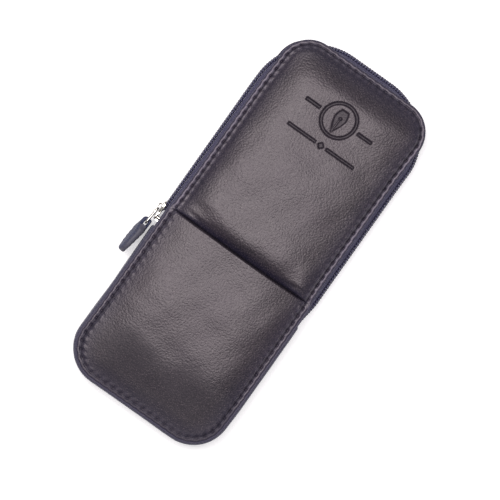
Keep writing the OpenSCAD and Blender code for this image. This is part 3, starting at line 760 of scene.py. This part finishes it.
def stitch(parts, x, y, tx, ty, z, up):
    """One stitch of two-ply thread that dives into its needle hole at each end."""
    t = np.linspace(-1, 1, 13)
    along, lift = t * STITCH_LENGTH / 2, 0.13 - 0.62 * np.abs(t) ** 3.2
    for ply in (0, math.pi):
        side, over = PLY_OFFSET * np.cos(ply + t * 3.4), PLY_OFFSET * np.sin(ply + t * 3.4)
        path = xyz(x + tx * along + ty * side, y + ty * along - tx * side, z + up * (lift + over))
        parts.add(*tube(path, PLY_RADIUS, 6))


def stitches(name, seams, z, up, body, node, inset=SEAM_INSET):
    """Rows of stitches along seams. The front's follow its edge, which is wider near the crease."""
    parts = Parts()
    for seam in seams:
        u = inset_seam(seam, inset)
        length = u_length(*u)
        count = stitch_count(length)
        for i in range(count):
            x, y, nx, ny = (float(v) for v in u_path(*u, length / 2 + (i - (count - 1) / 2) * STITCH_PITCH))
            if abs(y - CREASE_Y) < 2.0:
                continue
            if up > 0 and abs(nx) > 0.99:
                x = math.copysign(float(front_width(np.array(y))) - inset, x)
            stitch(parts, x, y, -ny, nx, z - up * STITCH_DEPTH, up)
    make(name, parts, THREAD, body, (node,))


# ---- Gusset ----


def gusset():
    """The side wall round the pocket: swelling a little, with a fine pressed line below its top."""
    seam = (GUSSET_HI[0], GUSSET_HI[1], GUSSET_LO[1], BOTTOM_R + 0.9)
    low, high = WALL_LOW + 0.05, WALL_TOP - 0.05
    outer = [(-1.5, high), (-0.75, high - 0.1), (-0.3, high - 0.35), (-0.02, high - 0.9),
             (0.12, high - 1.6), (0.02, high - 2.0), (-0.12, high - 2.2), (0.05, high - 2.45),
             (0.2, high - 3.2), (0.3, high - 5.5), (0.34, MID_Z), (0.28, low + 5),
             (0.14, low + 2.2), (-0.1, low + 0.9), (-0.5, low + 0.25), (-1.2, low)]
    inner = [(-4.4, low), (-4.4, low + 0.85), (-1.5, low + 0.9), (-1.4, low + 1.6), (-1.4, MID_Z),
             (-1.4, high - 1.6), (-1.5, high - 0.9), (-4.4, high - 0.85), (-4.4, high)]
    out, z = np.array(outer + inner).T
    length = u_length(*seam)
    s = spaced([0, (2.5, 0.36), (length - 2.5, (length - 5) / 149), (length, 0.36)])
    x, y, nx, ny = u_path(*seam, s)
    rounding = -0.55 * (1 - clamp(np.minimum(s, length - s) / 1.1)) ** 2
    wave = 0.09 * np.sin(s / 5.3) + 0.06 * np.sin(s / 2.9 + 1)
    rings = []
    for i in range(len(s)):
        reach = out + np.where(out > -1.0, rounding[i] + wave[i] * bell(z - MID_Z, 6), 0)
        rings.append(xyz(x[i] + reach * nx[i], y[i] + reach * ny[i], z))
    wear_and_highlight = np.zeros((len(s), len(z)))
    wear_and_highlight[:, 1:4] = 0.75
    wear_and_highlight[:3, :16] = wear_and_highlight[-3:, :16] = 0.6
    make("gusset_skin", Parts().add(*loft(rings)), GUSSET, "case", ("gusset_leather",),
         marks={"wear_and_highlight": wear_and_highlight.ravel()})


# ---- Zip tapes and coils ----

TAPE_OUT, TAPE_T = 1.35, 0.5
TUCK_START, TUCK_END = -15.7, -17.4
WAIST, STAND = 3.5, 2.4
COIL_GAP = 0.15


def tape_rings(w_rim, rim_z, sign):
    """Rings of a tape's section along the zip. sign is 1 for the front tape and -1 for the back one."""
    rim_u, edge_u = (w_rim, TAIL_END, TOP_Y, TOP_R), (COIL_W, TAIL_END, COIL_TOP, COIL_R)
    rim_l, edge_l = u_length(*rim_u), u_length(*edge_u)
    waist, stand, gap = (MID_Z + sign * up for up in (WAIST, STAND, COIL_GAP))
    rings = []
    for f in np.linspace(0, 1, 300):
        rim = [float(v) for v in u_path(*rim_u, f * rim_l)]
        edge = [float(v) for v in u_path(*edge_u, f * edge_l)]
        tucked = smooth(TUCK_START - rim[1], 0, TUCK_START - TUCK_END) if abs(rim[2]) > 0.99 else 0.0
        shift, flange = 0.9 * tucked, 3.5 - 2.5 * tucked
        top = rim_z - sign * (0.06 + 1.15 * tucked)
        ripple = 0.12 * math.sin(f * edge_l / 3.1) + 0.07 * math.sin(f * edge_l / 1.37)

        def at(place, off, z):
            x, y, nx, ny = place
            return np.array([x + (off - shift) * nx, y + (off - shift) * ny, z])

        fold, foot = at(rim, 0.05, top - sign * 0.25), at(edge, -TAPE_OUT + 0.08, waist)
        away = np.array([edge[2], edge[3], 0]) * ripple * 0.5
        rings.append([
            at(rim, -flange, top), at(rim, -0.5, top), fold,
            *(fold + (foot - fold) * t + away * math.sin(math.pi * t) for t in (0.25, 0.5, 0.75)),
            at(edge, -TAPE_OUT + 0.05, waist), at(edge, -TAPE_OUT, stand), at(edge, -TAPE_OUT, gap),
            at(edge, -TAPE_OUT - TAPE_T, gap), at(edge, -TAPE_OUT - TAPE_T, stand),
            at(edge, -TAPE_OUT - TAPE_T, waist), at(rim, -0.9, top - sign * TAPE_T),
            at(rim, -flange, top - sign * TAPE_T)])
    return np.array(rings)


def zip_tapes():
    front = tape_rings(FLAP_W, WALL_TOP, 1)
    x, y, z = front[:, :, 0], front[:, :, 1], front[:, :, 2]
    near_rim = clamp((z - MID_Z - WAIST) / 4)
    straight = clamp((TOP_Y - TOP_R - y) / 4)
    x += np.sign(x) * (front_width(y) - FLAP_W) * near_rim * straight
    crease_blend(make("zip_tape_front", Parts().add(*loft(front)), TAPE,
                      replaces=("zip_tape_flap", "zip_tape_front_tails")))
    back = tape_rings(BACK_W, WALL_LOW, -1)[:, ::-1]
    make("zip_tape_rear", Parts().add(*loft(back)), TAPE, "case", ("zip_tape_back",))


PITCH = 1.24
COIL_START_LEFT, COIL_END_RIGHT = COIL_BACK_LO[1] + 4.2, COIL_BACK_LO[1] - 1.2
COIL_U = (COIL_W, COIL_END_RIGHT, COIL_TOP, COIL_R)
COIL_START, COIL_END = COIL_START_LEFT - COIL_END_RIGHT, u_length(*COIL_U)


def along_coil(s, out, z):
    """Points at lengths s along the zip, by out from its edge. On the right it runs in under the gusset."""
    x, y, nx, ny = u_path(*COIL_U, s)
    path = xyz(x + out * nx, y + out * ny, z)
    path[:, 0] -= 1.3 * smooth(-path[:, 1], 5, 18) * (path[:, 0] > 0)
    return path


def coil(sign):
    """One row of coil: a wire wound flat along the zip, its heads hooked past the middle."""
    steps = 14
    first = 0.75 if sign < 0 else 0.25
    count = int((COIL_END - COIL_START) / PITCH - 0.5)
    turn = np.arange(count * steps + 1) / steps
    across, deep = signed_power(np.cos(TAU * turn), 0.75), signed_power(np.sin(TAU * turn), 0.6)
    z = MID_Z + sign * (0.86 + 1.16 * across)
    path = along_coil(COIL_START + (turn + first) * PITCH, -0.66 + 0.40 * deep, z)
    return tube(path, 0.25 + 0.05 * clamp(-across), 6)


def coil_threads(sign):
    """Two rows of stitches that hold the coil on its tape."""
    s = np.arange(COIL_START + 1.2, COIL_END - 1, PITCH / 6)
    turn = TAU * s / PITCH
    parts = Parts()
    for level in (1.25, 1.72):
        path = along_coil(s, 0.06 + 0.10 * np.cos(turn), MID_Z + sign * (level + 0.07 * np.sin(turn)))
        parts.add(*tube(path, 0.12, 5))
    return parts


def zip_coils():
    crease_blend(make("zip_coil_front", Parts().add(*coil(1)), COIL,
                      replaces=("zip_coil_flap", "zip_coil_front_tails")))
    make("zip_coil_rear", Parts().add(*coil(-1)), COIL, "case", ("zip_coil_back",))
    crease_blend(make("coil_thread_front", coil_threads(1), TAPE))
    make("coil_thread_rear", coil_threads(-1), TAPE, "case")


# ---- Slider, link and tab ----

SLIDER_LO, SLIDER_HI = box_mm("slider_body")
CAP_LO, CAP_HI = box_mm("slider_cap")
SLIDER_Y = (SLIDER_LO[1] + SLIDER_HI[1]) / 2
OUTER_PLATE = COIL_W + 0.15
INNER_PLATE = COIL_W - 2.05
PLATE_T = 0.75
JOINTS = {joint["name"]: joint for joint in frame["record"]["behaviour"]["joints"]}
TAB_PIVOT = np.array(JOINTS["tab_swing"]["pos_m"]) / MM


def on_wall(points):
    """From the slider's own frame (down the zip, up, out of the left wall) to the row frame."""
    points = np.asarray(points, float).reshape(-1, 3)
    return xyz(-points[:, 2], SLIDER_Y - points[:, 0], MID_Z + points[:, 1])


def add_on_wall(parts, mesh, place=on_wall):
    verts, faces, uv = mesh
    parts.add(place(verts), faces, uv)


def shield(half, narrow, wide, steps=10):
    """The slider plate's outline: narrow with a round top, wide with a shallow notch at its head."""
    top, corner = 1.3, 1.1
    turn = np.linspace(0, math.pi / 2, steps)
    right = [(-half + top * (1 - math.cos(a)), narrow * math.sin(a)) for a in turn]
    right += [(-half + top + t * 2 * (half - top), narrow + (wide - narrow) * float(smooth(t, 0.1, 0.8)))
              for t in np.linspace(0.1, 1, steps)]
    right += [(half - top + top * math.sin(a), wide - corner * (1 - math.cos(a)))
              for a in np.linspace(0.2, math.pi / 2, steps)]
    right += [(half - 0.25 * math.sin(t * math.pi / 2), (wide - corner) * (1 - t))
              for t in np.linspace(0.3, 0.9, 4)]
    loop = right + [(half - 0.3, 0)] + [(x, -y) for x, y in right[:0:-1]]
    return np.array(loop)[::-1]


def slider_body():
    """Two plates, a rail along each long edge of the outer one, and the post between them."""
    half = (SLIDER_HI[1] - SLIDER_LO[1]) / 2
    outline = shield(half, 2.1, 3.0)
    parts = Parts()
    for low in (OUTER_PLATE, INNER_PLATE - PLATE_T):
        add_on_wall(parts, rounded_slab(outline, low, low + PLATE_T, 0.28))
    t = np.linspace(0, 1, 16)
    for side in (-1, 1):
        along, across = -half + 0.9 + t * (2 * half - 3.2), side * (2.28 + 0.62 * smooth(t, 0.2, 0.9))
        add_on_wall(parts, tube(xyz(along, across, OUTER_PLATE - 0.25), 0.36, 10))
    post = [(half - 1.3, 0, z) for z in np.linspace(INNER_PLATE - 0.2, OUTER_PLATE + 0.2, 6)]
    add_on_wall(parts, tube(post, 0.72, 20, up=(1, 0, 0)))
    make("slider_metal", parts, NICKEL, "slider", ("slider_body",))


def slider_arch():
    """The flat arch that holds the link, wider at its two feet."""
    reach, base = (CAP_HI[1] - CAP_LO[1]) / 2 - 0.35, OUTER_PLATE + 0.55
    rise = -CAP_LO[0] - base - 0.34
    t = np.linspace(0, math.pi, 25)
    path = xyz(-reach * signed_power(np.cos(t), 0.6), 0, base + rise * np.sin(t) ** 0.55)
    ahead = unit(np.gradient(path, axis=0))
    normal = xyz(-ahead[:, 2], 0, ahead[:, 0])
    width = 0.85 + 0.35 * np.abs(np.cos(t)) ** 3
    across, over = signed_power(np.cos(turns(20)), 0.5), 0.33 * signed_power(np.sin(turns(20)), 0.7)
    rings = [p + np.outer(w * across, (0, 1, 0)) + np.outer(over, n) for p, n, w in zip(path, normal, width)]
    parts = Parts()
    add_on_wall(parts, loft(rings))
    make("slider_arch", parts, NICKEL, "slider", ("slider_cap",))


TAB_LEAN = math.radians(7.4)


def on_tab(points):
    """From the tab's own frame (down its length, up, out) to the row frame."""
    points = np.asarray(points, float).reshape(-1, 3)
    c, s = math.cos(TAB_LEAN), math.sin(TAB_LEAN)
    down = points[:, 0] * c - points[:, 2] * s
    out = points[:, 0] * s + points[:, 2] * c
    return xyz(TAB_PIVOT[0] - out, TAB_PIVOT[1] - down, TAB_PIVOT[2] + points[:, 1])


TAB_LENGTH, TAB_HALF_W, NECK_HALF_W, TAB_END = 15.2, 4.0, 2.75, 4.6
TAB_SEAM = TAB_HALF_W - 1.0


def tab_half_t(px):
    """Half the tab's thickness, thinner towards its end."""
    return 2.25 - 0.4 * smooth(px, 1.6, 6.5) - 0.4 * smooth(px, 6, TAB_LENGTH)


def twisted(points):
    """The strip turns a little about its length, so that its outer face looks up."""
    points = np.asarray(points, float).reshape(-1, 3)
    turn = math.radians(18) * smooth(points[:, 0], -0.5, 4.5) - math.radians(5) * smooth(points[:, 0], 6, 15)
    c, s = np.cos(turn), np.sin(turn)
    out = points[:, 2] * c - points[:, 1] * s
    out = out + 0.45 * smooth(-out, 1.2, 2.3)
    return on_tab(xyz(points[:, 0], points[:, 1] * c + points[:, 2] * s, out))


def tab():
    """A strip of leather folded over the link and sewn to itself, with a painted edge."""
    parts = Parts()
    cy, cz = signed_power(np.cos(turns(44)), 0.42), signed_power(np.sin(turns(44)), 0.55)
    round_from = TAB_LENGTH - TAB_END
    stations = np.concatenate([np.linspace(1.2, 4.8, 12), np.linspace(5.2, round_from - 0.2, 12),
                               round_from + TAB_END * np.sin(np.linspace(0.02, 0.497 * math.pi, 18))])
    rings = []
    for px in stations:
        w = NECK_HALF_W + (TAB_HALF_W - NECK_HALF_W) * float(smooth(px, 1.4, 3.8))
        w *= math.sqrt(max(0.0, 1 - max(0.0, (px - round_from) / TAB_END) ** 2))
        t = float(tab_half_t(px)) * (0.45 + 0.55 * min(1.0, w / 2.2))
        pinch = 1 - 0.12 * np.abs(cy) ** 6 - 0.07 * bell(np.abs(cy) * w - (w - 1.0), 0.35)
        rings.append(xyz(px, w * cy, t * cz * pinch))
    add_on_wall(parts, loft(rings), twisted)
    strip = parts.count

    # The fold goes round the link, and both its ends run into the strip.
    across = NECK_HALF_W * signed_power(np.cos(turns(16)), 0.35)
    thick = 1.42 + 0.78 * signed_power(np.sin(turns(16)), 0.6)
    rings = []
    for a in np.linspace(-0.5 * math.pi, -1.5 * math.pi, 26):
        c, s = -abs(math.cos(a)) ** 0.7, -signed_power(math.sin(a), 0.7)
        rings.append(xyz(thick * c, across, thick * s))
    first, last = (xyz(1.7, *rings[k][:, 1:].T) for k in (0, -1))
    add_on_wall(parts, loft([first, *rings, last]), twisted)
    edge = 0.8 * smooth(np.abs(cy), 0.80, 0.95)
    wear_and_highlight = np.concatenate([np.tile(edge, len(stations)), np.full(parts.count - strip, 0.1)])
    make("tab_leather", parts, TAB, "tab", ("pull_tab",), marks={"wear_and_highlight": wear_and_highlight})


def tab_stitches():
    """Four stitches along each edge, on both faces."""
    parts = Parts()
    t = np.linspace(-1, 1, 9)
    for face, side, k in itertools.product((-1, 1), (-1, 1), range(4)):
        px = 4.8 + 2.1 * k + 0.8 * t
        z = face * (tab_half_t(px) * 0.84 + 0.02 - 0.25 * np.abs(t) ** 3)
        add_on_wall(parts, tube(xyz(px, side * TAB_SEAM, z), 0.13, 6, up=(0, 1, 0)), twisted)
    make("tab_stitches", parts, THREAD, "tab", ("pull_tab_stitching",))


# ---- Inside ----


def back_lining():
    """A cloth laid on the back's board, a little puffed."""
    lo, hi = box_mm("back_lining")
    w, low, high, r0, r1 = hi[0], lo[1], hi[1], BOTTOM_R - 2.4, TOP_R - 2.4
    ys = np.linspace(low, high, int((high - low) / 1.3))
    x, y = rounded_grid(np.linspace(-w, w, 60), ys, w, low, high, r0, r1)
    d = inside(x, y, w, low, high, r0, r1)
    ripple = 0.6 + 0.4 * np.sin(x / 6.1 + 0.5) * np.cos(y / 7.7)
    puff = 0.2 * ease(d / 5) * ripple + 0.05 * bell(d - 0.9, 0.5)
    parts = Parts()
    panel(parts, x, y, lo[2] + 0.25 + puff, [(0.12, -0.1), *CLOTH_EDGE])
    cloth = make("back_lining_cloth", parts, LINING, "case", ("back_lining",))


def front_lining():
    """One cloth over the pocket's board and the flap's, across the crease."""
    lo, pocket_hi = box_mm("pocket_lining")
    hi = box_mm("flap_lining")[1]
    w, low, high = pocket_hi[0], lo[1], hi[1]
    ys = spaced([low, (CREASE_Y - 12, 1.4), (CREASE_Y + 12, 0.5), (high, 1.4)])
    x, y = rounded_grid(np.linspace(-w, w, 60), ys, w, low, high, BOTTOM_R - 2.2, TOP_R - 1)
    rise = smooth(y, CREASE_Y - 12, CREASE_Y + 2)
    z = pocket_hi[2] - 0.5 + (hi[2] - pocket_hi[2]) * rise - 0.12 * np.sin(x / 5.2) * np.cos(y / 6.3)
    parts = Parts()
    panel(parts, x, y, z, [(0.1, -0.1), *CLOTH_EDGE], up=-1.0)
    cloth = make("front_lining_cloth", parts, LINING,
                 replaces=("pocket_lining", "flap_lining"))
    crease_blend(cloth)


def gusset_lining():
    lo, hi = box_mm("gusset_lining")
    seam = (hi[0], hi[1], lo[1], BOTTOM_R - 1.1)
    s = np.linspace(0, u_length(*seam), 140)
    heights, steps = np.linspace(lo[2], hi[2], 12), np.linspace(0, math.pi, 12)
    rings = []
    for x, y, nx, ny, along in zip(*u_path(*seam, s), s):
        depth = 0.4 + 0.12 * np.sin(steps) + 0.05 * math.sin(along / 3.7)
        outer, inner = (xyz(x - deep * nx, y - deep * ny, heights) for deep in (0.05, depth))
        rings.append(np.concatenate([outer, inner[::-1]]))
    make("gusset_lining_cloth", Parts().add(*loft(rings)), LINING, "case", ("gusset_lining",))


def loops():
    """Two elastic loops, their ends turned in on the floor and their middle a little narrower."""
    for side in ("left", "right"):
        node = "pen_loop_" + side
        lo, hi = box_mm(node)
        middle, w, floor, tall = (lo[0] + hi[0]) / 2, (hi[0] - lo[0]) / 2, lo[2], hi[2] - lo[2]
        a = np.linspace(0, math.pi, 40)[1:-1]
        foot_x, foot_z = w - np.array([4.2, 2.0, 0.6]), floor + np.array([0.45, 0.42, 0.5])
        px = np.concatenate([-foot_x, -w * signed_power(np.cos(a), 0.5), foot_x[::-1]])
        pz = np.concatenate([foot_z, floor + tall * np.sin(a) ** 0.55, foot_z[::-1]])
        ahead = unit(np.gradient(np.column_stack([px, pz]), axis=0))
        across = np.linspace(lo[1], hi[1], 13)
        bow = 0.28 * np.sin(np.linspace(0, math.pi, 13))
        rings = []
        for x, z, (ax, az) in zip(middle + px, pz, ahead):
            outer, inner = (xyz(x + az * off, across, z - ax * off) for off in (-0.02, 0.78 - bow))
            rings.append(np.concatenate([outer, inner[::-1]]))
        make("elastic_loop_" + side, Parts().add(*loft(rings)), ELASTIC, "case", (node,))


def divider():
    """A stiff leather-covered card with rounded edges and a nose cut down at its open end."""
    lo, hi = box_mm("pen_divider")
    low, high = lo[1], hi[1]
    nose = 5.0
    round_nose = high - nose + nose * np.sin(np.linspace(0.05, 1, 14) * math.pi / 2)
    cx, cz = signed_power(np.cos(turns(28)), 0.35), signed_power(np.sin(turns(28)), 0.12)
    rings = []
    for y in [*np.linspace(low, high - nose, 50), *round_nose]:
        over = max(0.0, (y - (high - nose)) / nose)
        top = hi[2] - nose * (1 - math.sqrt(max(0.0, 1 - over * over)))
        half_t = (hi[0] - lo[0]) / 2 * (0.97 if y < high - 1 else 0.8)
        z = (lo[2] + top) / 2 + (top - lo[2]) / 2 * cz
        rings.append(xyz(half_t * cx, y, z))
    make("divider_skin", Parts().add(*loft(rings)), DIVIDER, "case", ("pen_divider",))


# ---- Carried-over CAD nodes ----


def carried_over():
    finishes = {"back_board": BOARD, "pocket_board": BOARD, "flap_board": BOARD, "back_foam": FOAM,
                "zip_top_stops": NICKEL, "zip_bottom_stop": NICKEL, "pull_link": LINK_METAL}
    for node, material in finishes.items():
        obj = frame["nodes"][node]
        obj.data.materials.clear()
        obj.data.materials.append(material)
        if node != "pull_link":
            bevel = obj.modifiers.new("soft_edges", "BEVEL")
            bevel.width = 0.18 * MM
            bevel.segments = 3
            bevel.limit_method = "ANGLE"


# ---- Studio ----


def studio():
    """A pale paper floor, one soft lamp overhead and a faint world."""
    reach = 3.0
    corners = [(x * reach, y * reach, 0) for x, y in ((-1, -1), (1, -1), (1, 1), (-1, 1))]
    floor = bpy.data.meshes.new("floor")
    floor.from_pydata(corners, [], [[0, 1, 2, 3]])
    shader = Shader("floor_paper")
    grain = shader.noise(shader.place(), 0.8, 3)
    colour = shader.mix(grain, (0.90, 0.90, 0.905), (0.93, 0.93, 0.935))
    floor.materials.append(shader.done(Base_Color=colour, Roughness=0.9, Specular_IOR_Level=0.1,
                                       Emission_Color=(1, 1, 1), Emission_Strength=0.3))
    add_object("floor", floor)

    light = bpy.data.lights.new("overhead", "AREA")
    light.shape, light.size, light.size_y = "RECTANGLE", 0.66, 0.44
    light.energy, light.color = 13.8, (1.0, 0.955, 0.95)
    lamp = add_object("overhead", light)
    lamp.location = (-0.15, 0.07, 1.1)
    lamp.rotation_mode = "QUATERNION"
    lamp.rotation_quaternion = Vector((0, 0, -1)).to_track_quat("-Z", "Y")

    world = bpy.data.worlds.new("studio")
    world.use_nodes = True
    background = world.node_tree.nodes["Background"]
    background.inputs["Color"].default_value = (0.96, 0.95, 1.0, 1)
    background.inputs["Strength"].default_value = 0.36
    bpy.context.scene.world = world
    bpy.context.scene.view_settings.view_transform = "Standard"


def camera():
    """The photograph's view: from straight above, the case leaning clockwise in the picture."""
    data = bpy.data.cameras.new("camera")
    data.lens, data.sensor_width = 240.0, 36.0
    data.clip_start, data.clip_end = 0.05, 20
    cam = add_object("camera", data)
    lean, tilt, seen_width = math.radians(35.24), math.radians(1.3), 0.2
    aim = Vector((1.75, -3.42, 21.0)) * MM
    distance = seen_width * data.lens / data.sensor_width
    back = Vector((-math.sin(tilt), 0.0, math.cos(tilt)))
    up = Vector((-math.sin(lean), math.cos(lean), 0.0))
    right = up.cross(back).normalized()
    up = back.cross(right)
    turn = Matrix((right, up, back)).transposed().to_4x4()
    cam.matrix_world = Matrix.Translation(aim + back * distance) @ turn
    bpy.context.scene.camera = cam


front_skin()
front_foam("flap_foam_pad", "flap_foam", CREASE_Y, TOP_Y, 0, TOP_R, "flap")
front_foam("pocket_foam_pad", "pocket_foam", BOTTOM_Y, CREASE_Y, BOTTOM_R, 0, "case")
back_skin()
stitches("flap_stitches", [FLAP_SEAM], RIM_Z, 1, "flap", "flap_stitching")
stitches("pocket_stitches", [POCKET_SEAM], RIM_Z, 1, "case", "pocket_stitching", POCKET_INSET)
stitches("back_stitches", BACK_SEAMS, BACK_RIM_Z, -1, "case", "back_stitching")
gusset()
zip_tapes()
zip_coils()
slider_body()
slider_arch()
tab()
tab_stitches()
back_lining()
front_lining()
gusset_lining()
loops()
divider()
carried_over()
studio()
camera()
